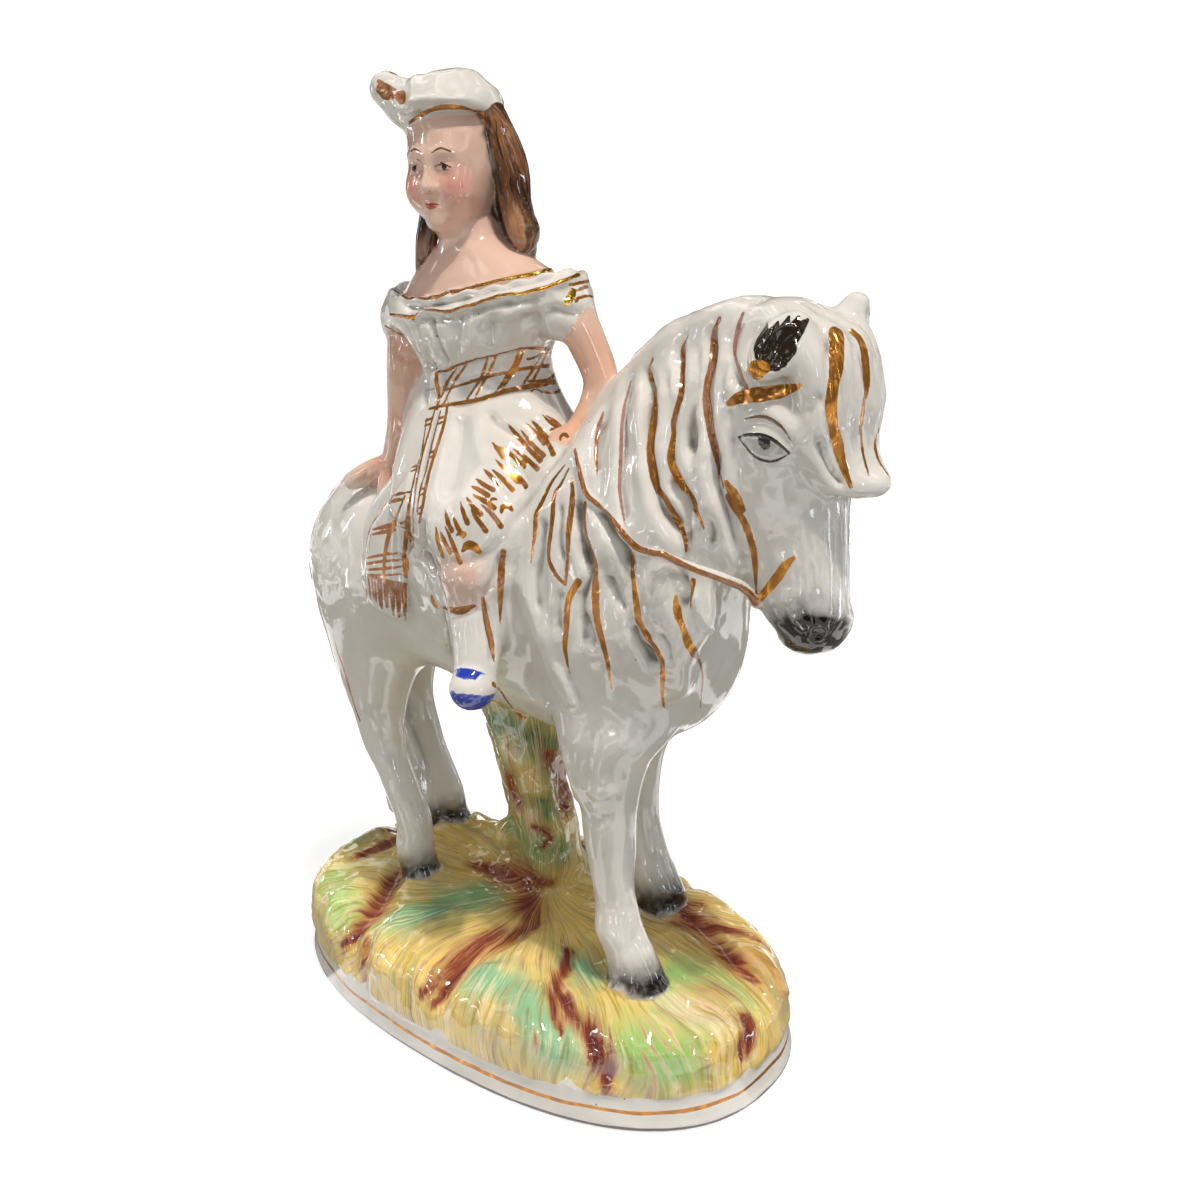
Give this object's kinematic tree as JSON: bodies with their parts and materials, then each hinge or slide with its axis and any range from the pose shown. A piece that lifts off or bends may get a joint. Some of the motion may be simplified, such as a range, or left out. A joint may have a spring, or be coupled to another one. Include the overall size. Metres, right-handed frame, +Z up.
{
  "type": "staffordshire figure",
  "caption": "Glazed earthenware figure of a rider seated sideways on a standing pony, with a tree trunk under the belly and an oval rocky mound, painted and gilded.",
  "frame": {"origin": "centre of the base's flat underside", "axes": "+Z up, +X towards the pony's head, the rider faces -Y"},
  "size_m": [0.2216, 0.102, 0.2805],
  "materials": {
    "glazed_earthenware": "high-gloss clear lead glaze over white body, enamel colours and burnished gilt"
  },
  "bodies": {
    "root": {"staffordshire_figure": "glazed_earthenware"}
  },
  "joints": []
}
